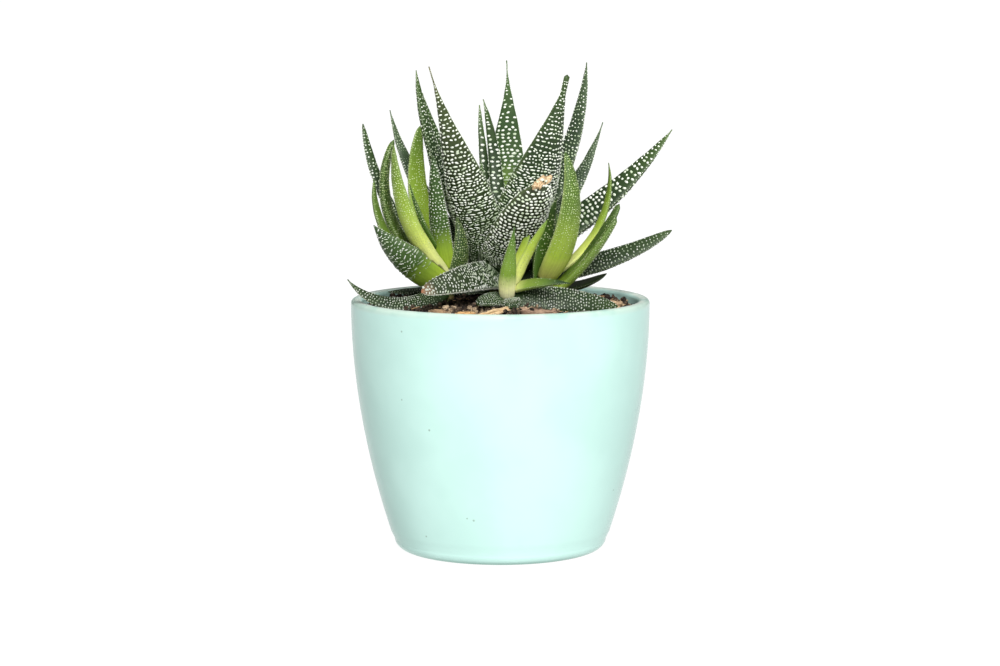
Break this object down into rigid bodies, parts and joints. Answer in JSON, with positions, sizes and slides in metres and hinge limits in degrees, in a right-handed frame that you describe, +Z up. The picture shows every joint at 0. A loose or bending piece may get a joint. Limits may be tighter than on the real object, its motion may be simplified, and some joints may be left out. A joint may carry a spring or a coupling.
{
  "type": "potted succulent",
  "caption": "Pearl-leaved succulent with a main rosette and young offsets, growing in a round glazed pot of soil.",
  "frame": {"origin": "centre of the pot's flat foot, on the surface that it stands on", "axes": "+Z up along the pot's axis, -Y towards the side that the picture shows, +X to the right in the picture"},
  "size_m": [0.0868, 0.0798, 0.13],
  "materials": {
    "mint_glaze": "pale mint green glaze, glossy",
    "potting_soil": "dark brown peaty potting soil, rough",
    "stem_green": "green-brown plant stem, matt",
    "bark": "split bark, rough",
    "dry_leaf_tip": "dry tan leaf skin, matt",
    "dark_leaf": "dark green succulent leaf with white pearls, satin",
    "young_leaf": "bright yellow-green young succulent leaf, satin"
  },
  "bodies": {
    "root": {"bark_chip_brown": "bark", "bark_chip_left": "bark", "bark_chip_orange": "bark", "bark_chip_right": "bark", "bark_chip_tan": "bark", "dry_husk": "dry_leaf_tip", "front_leaf_back": "young_leaf", "front_leaf_centre_up": "young_leaf", "front_leaf_left_low": "young_leaf", "front_leaf_right_flat": "young_leaf", "front_leaf_right_low": "young_leaf", "front_leaf_right_lying": "young_leaf", "front_leaf_right_up": "young_leaf", "front_stem": "stem_green", "left_leaf_back_broad": "young_leaf", "left_leaf_back_low": "young_leaf", "left_leaf_back_outer": "young_leaf", "left_leaf_front_narrow": "young_leaf", "left_leaf_front_up": "young_leaf", "left_leaf_left_broad": "young_leaf", "left_leaf_left_outer": "young_leaf", "left_leaf_left_tall": "young_leaf", "left_leaf_left_yellow": "young_leaf", "left_leaf_over_rim": "young_leaf", "left_leaf_right_short": "young_leaf", "left_stem": "stem_green", "main_leaf_back_left_grey": "dark_leaf", "main_leaf_back_left_low": "dark_leaf", "main_leaf_back_left_mid": "dark_leaf", "main_leaf_back_low_left": "dark_leaf", "main_leaf_back_low_middle": "dark_leaf", "main_leaf_back_low_right": "dark_leaf", "main_leaf_back_right_grey": "dark_leaf", "main_leaf_back_slim_left": "dark_leaf", "main_leaf_back_slim_right": "dark_leaf", "main_leaf_back_tall": "dark_leaf", "main_leaf_front_left_drooping": "dark_leaf", "main_leaf_front_left_tall": "dark_leaf", "main_leaf_front_right_tall": "dark_leaf", "main_leaf_front_short": "dark_leaf", "main_leaf_heart_left": "dark_leaf", "main_leaf_heart_right": "dark_leaf", "main_leaf_left_tall": "dark_leaf", "main_leaf_right_back_tall": "dark_leaf", "main_leaf_right_long": "dark_leaf", "main_leaf_right_low": "dark_leaf", "main_leaf_right_small": "dark_leaf", "main_stem": "stem_green", "pot": "mint_glaze", "right_leaf_back": "young_leaf", "right_leaf_front_up": "young_leaf", "right_leaf_left_up": "young_leaf", "right_leaf_right_low": "young_leaf", "right_leaf_right_mid": "young_leaf", "right_leaf_right_up": "young_leaf", "right_stem": "stem_green", "soil": "potting_soil"}
  },
  "joints": []
}
